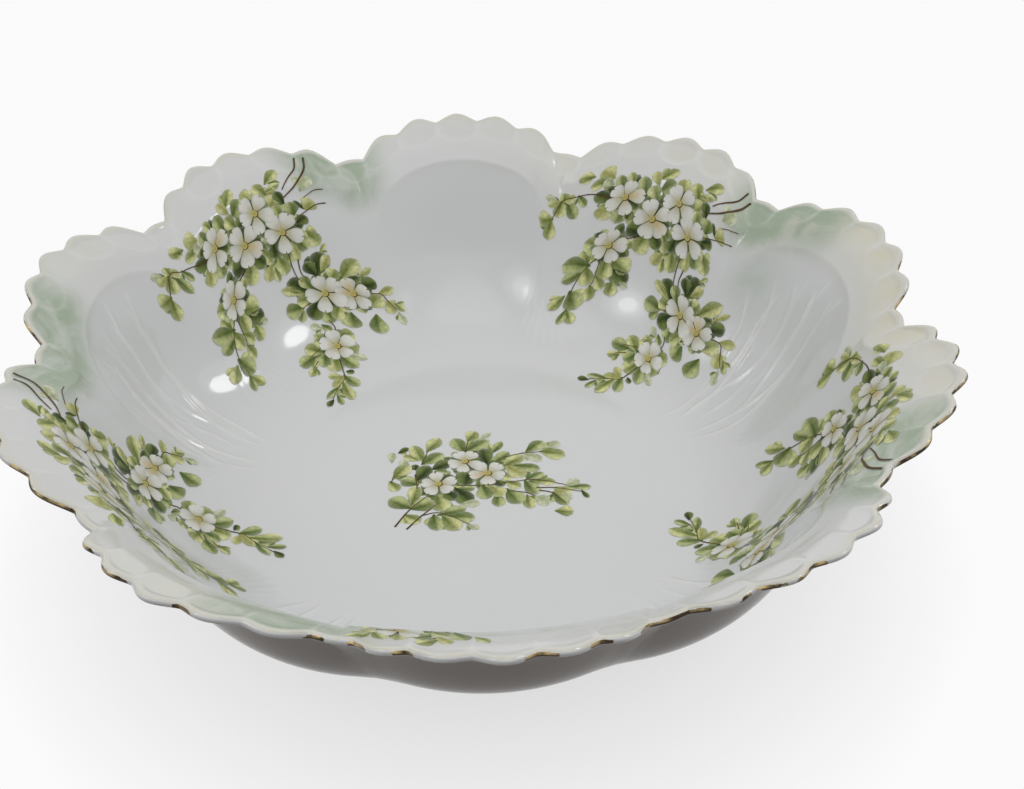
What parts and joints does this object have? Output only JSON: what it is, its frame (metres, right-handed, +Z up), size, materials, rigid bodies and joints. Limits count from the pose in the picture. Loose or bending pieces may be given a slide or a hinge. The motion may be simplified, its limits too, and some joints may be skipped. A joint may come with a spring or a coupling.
{
  "type": "porcelain serving bowl",
  "caption": "Round porcelain serving bowl with a lobed wall, a flared scalloped rim with a worn gilt edge, arched panels, flower sprays inside and a plain foot ring.",
  "frame": {"origin": "centre of the foot ring, on the plane of its tread, where the bowl meets the table", "axes": "+Z up along the axis of the bowl, -Y towards the viewer of the picture, +Y through the middle of a plain lobe"},
  "size_m": [0.2314, 0.239, 0.0643],
  "materials": {
    "porcelain_glaze": "clear glossy glaze over cool white porcelain",
    "foot_glaze": "thin glossy glaze, worn to the bare body on the tread",
    "gilding": "burnished gold line, rubbed through in many places"
  },
  "bodies": {
    "root": {"bowl_body": "porcelain_glaze", "foot_ring": "foot_glaze", "gilt_edge": "gilding"}
  },
  "joints": []
}
